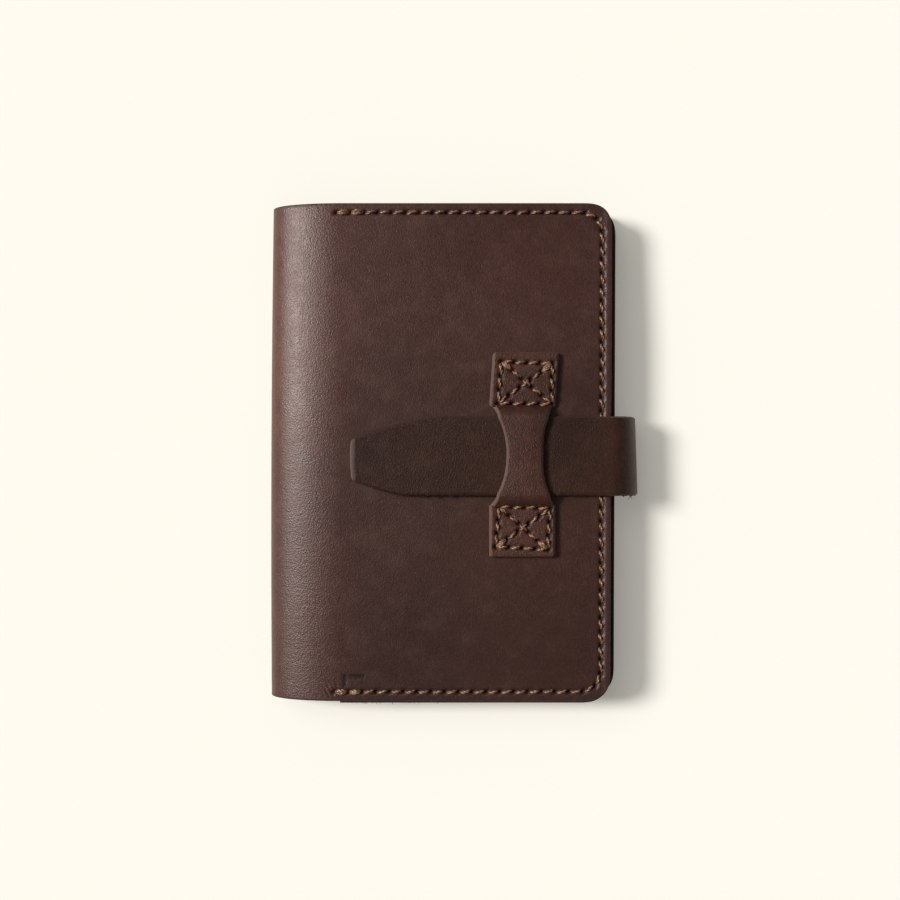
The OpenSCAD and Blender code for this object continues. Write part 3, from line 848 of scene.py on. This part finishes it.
# Each box is a little off its place and its corners off true, as sewn by hand
BOX_REACH = KEEPER_REACH - BOX_INSET - BOX_H / 2
TOP_BOX = sewn_box(
    KEEPER_X + 0.2, KEEPER_Y + BOX_REACH - 0.8,
    [[0.4, 0.2], [0.3, -0.3], [0.2, 0.1], [-0.7, 0.3]])
FOOT_BOX = sewn_box(
    KEEPER_X - 0.4, KEEPER_Y - BOX_REACH + 0.1,
    [[0.5, 0.3], [0.4, -0.2], [-0.3, 0.0], [-0.5, 0.8]])
KEEPER_STITCHES = tuple(np.concatenate(ends) for ends in zip(TOP_BOX, FOOT_BOX))
ANCHOR_BOX = sewn_box(
    TAIL_LOW[0] + BOX_INSET + BOX_W / 2, STRAP_Y,
    [[0, 0.1], [0.2, 0], [0, -0.1], [-0.1, 0]])


def level(z, out):
    """A flat line at height z whose outer side is up (1) or down (-1)."""
    return Line(np.array([[80.0, z], [-80.0, z]]), out)


def box_seams():
    """The sewn boxes of the keeper and of the strap's anchor. In each, the two first
    or the two last stitches of the diagonals are sewn three times. The anchor's
    stitches lie in a groove in the tail, above the table."""
    pad, lining = level(Z_FRONT + KEEPER_T, 1), level(Z_FRONT - HIDE_T, -1)
    first, last = (14, 14, 19, 19), (18, 18, 23, 23)
    for name, ends, knots, seed, outer, inner, body in (
            ("keeper_top", TOP_BOX, first, 41, pad, lining, "front"),
            ("keeper_foot", FOOT_BOX, last, 42, pad, lining, "front"),
            ("strap_anchor", ANCHOR_BOX, last, 43,
             level(ANCHOR_GROOVE, -1), level(Z_BACK + HIDE_T, 1), "back")):
        for side, line, lift in (("needle", outer, BOX_LIFT), ("bobbin", inner, -0.05)):
            made = piece(f"{name}_{side}_stitches", [
                twisted(*ends, line, lift, -0.28, seed, knots)], THREAD, 80)
            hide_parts(f"{name}_{side}_thread")
            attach(made, body)


def strap():
    """The strap in two pieces that meet under the back panel's edge: the tongue with
    the bend, and the tail. The tip is cut on a parabola and the bend is drawn in,
    more at its upper edge. Fibres stand out along the lower edge, few of them round
    the bend."""
    over, bend, tail = strap_centre()
    path = np.concatenate([over, bend])
    run = travelled(path)
    sag = lambda s, across, high: 0.05 * np.sin(s / 7.0 + across / 9.0)
    grid, edge = strip_on(path, strap_half(run, False), strap_half(run, True), STRAP_T,
                          34, 0.55, STRAP_Y, (True, False), 1.3, sag)
    side = grid[..., 1] - STRAP_Y
    tip_bow = 0.5 * np.clip(1 - (side / 7.5) ** 2, 0, 1)
    grid[..., 0] -= tip_bow * smooth(-grid[..., 0], -X_TIP - 3, -X_TIP)
    grid[..., 0] -= (0.4 + 0.04 * side) * smooth(grid[..., 0], X_EDGE, X_LOOP)
    draw = np.random.default_rng(8)
    frayed = np.concatenate([draw.integers(40, 168, 70), draw.integers(168, 196, 12)])
    roots = grid[frayed, draw.integers(-7, -2, len(frayed))]
    tongue = piece("strap_tongue_and_bend", [
        sweep(grid, {"edge": edge, "hole": 0 * edge}),
        fibres(roots, np.tile([0.1, -0.8, 0.0], (len(roots), 1)), 9)], STRAP)
    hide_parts("strap_tongue", "strap_bend")
    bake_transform(tongue)
    path = np.concatenate([[[TAIL_HIGH[0], STRAP_T]], tail])
    half = 0 * path[:, 0] + STRAP_W / 2
    grid, edge = strip_on(path, half, half, STRAP_T, 70, 0.7, STRAP_Y, (False, True), 0.6)
    depth, hole = pressed(grid[..., 0], grid[..., 1], *ANCHOR_BOX)
    under = grid[..., 2] < 0.1
    grid[..., 2] += under * np.minimum(6.0 * depth, ANCHOR_GROOVE - 0.02)
    made = piece("strap_tail_strip", [sweep(grid, {"edge": edge, "hole": hole * under})], STRAP)
    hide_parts("strap_tail")
    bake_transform(made)


# ---- Stage ---------------------------------------------------------------------

def stage():
    """An opal floor, a soft light from the spine's side, a broader and weaker one
    from nearer the head, and an even fill."""
    bpy.ops.mesh.primitive_plane_add(size=3, location=(0, 0, -0.0002))
    floor = bpy.context.object
    floor.name = "floor"
    floor.data.materials.append(opal_acrylic())
    for name, towards, strength, spread in (
            ("window", (-1.04, 0.27, 1.0), 2.83, 16), ("skylight", (-0.55, 0.45, 1.0), 0.53, 40)):
        light = bpy.data.lights.new(name, "SUN")
        light.energy = strength
        light.angle = np.radians(spread)
        lamp = bpy.data.objects.new(name, light)
        lamp.rotation_euler = Vector(towards).to_track_quat("Z", "Y").to_euler()
        lamp.visible_glossy = name == "window"
        bpy.context.scene.collection.objects.link(lamp)
    world = bpy.data.worlds.new("studio")
    world.use_nodes = True
    world.node_tree.nodes["Background"].inputs["Color"].default_value = (1, 1, 1, 1)
    world.node_tree.nodes["Background"].inputs["Strength"].default_value = 0.12
    bpy.context.scene.world = world
    view = bpy.context.scene.view_settings
    view.view_transform = "Standard"
    view.look = "None"


def camera():
    """Straight down from 350 mm over the front face, framed 274.5 mm wide there."""
    width = 274.5
    lens = bpy.data.cameras.new("camera")
    lens.lens = lens.sensor_width * EYE_HEIGHT / width
    lens.clip_start = 0.01
    eye = bpy.data.objects.new("camera", lens)
    eye.location = (-1.454 * MM, 0.76 * MM, (Z_FRONT + EYE_HEIGHT) * MM)
    bpy.context.scene.collection.objects.link(eye)
    bpy.context.scene.camera = eye


camera()
stage()
hide()
sleeves()
edge_seams()
keeper()
box_seams()
strap()
